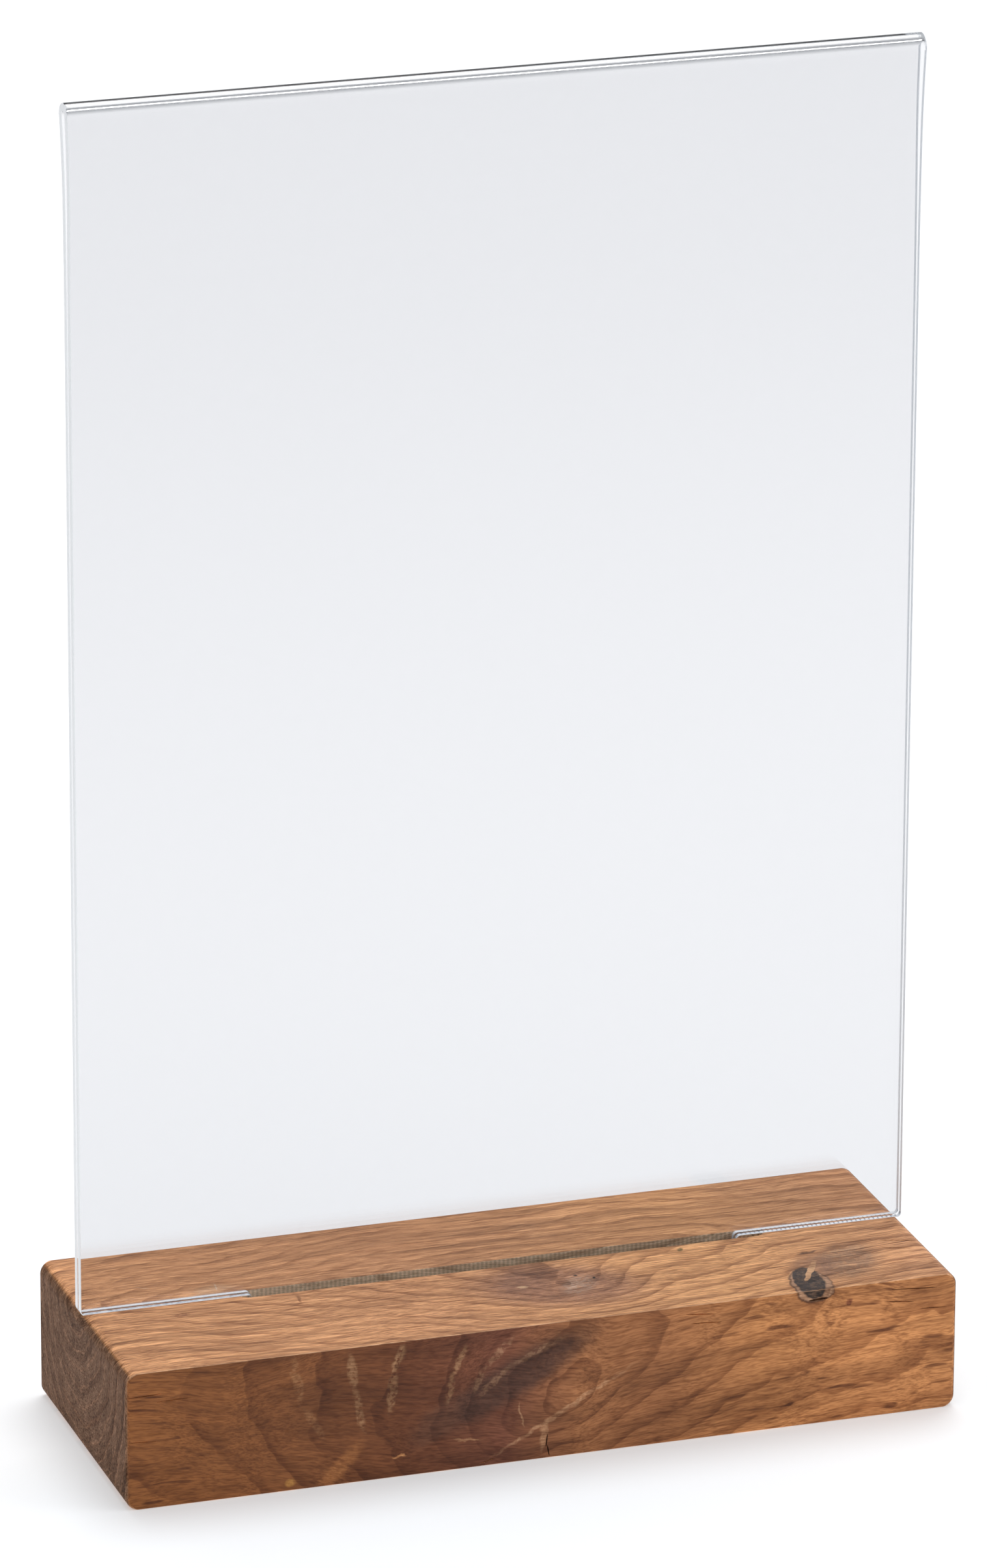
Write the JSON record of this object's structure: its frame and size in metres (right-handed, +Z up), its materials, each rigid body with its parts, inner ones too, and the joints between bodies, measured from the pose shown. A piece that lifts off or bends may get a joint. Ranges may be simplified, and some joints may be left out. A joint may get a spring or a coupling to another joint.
{
  "type": "table number holder",
  "caption": "Clear acrylic sleeve, folded over at the top, standing by its tab in a slot along a solid oiled wooden block; holds a portrait card for a table number, menu or seating list.",
  "frame": {"origin": "on the underside of the base, below the middle of its length and depth", "axes": "+Z up along the sleeve's height, +X along the base's length to the right of someone facing the front, +Y towards the back"},
  "size_m": [0.21, 0.075, 0.335],
  "materials": {
    "oiled_hardwood": "sanded and oiled, satin",
    "clear_acrylic": "clear cast acrylic sheet, gloss faces and frosted sawn edges"
  },
  "bodies": {
    "base": {"wooden_base": "oiled_hardwood"},
    "sleeve": {"acrylic_sleeve": "clear_acrylic"}
  },
  "joints": [
    {"name": "sleeve_lift", "type": "slide", "parent": "base", "child": "sleeve", "axis": [0, 0, 1], "range_m": [0, 0.04]}
  ]
}
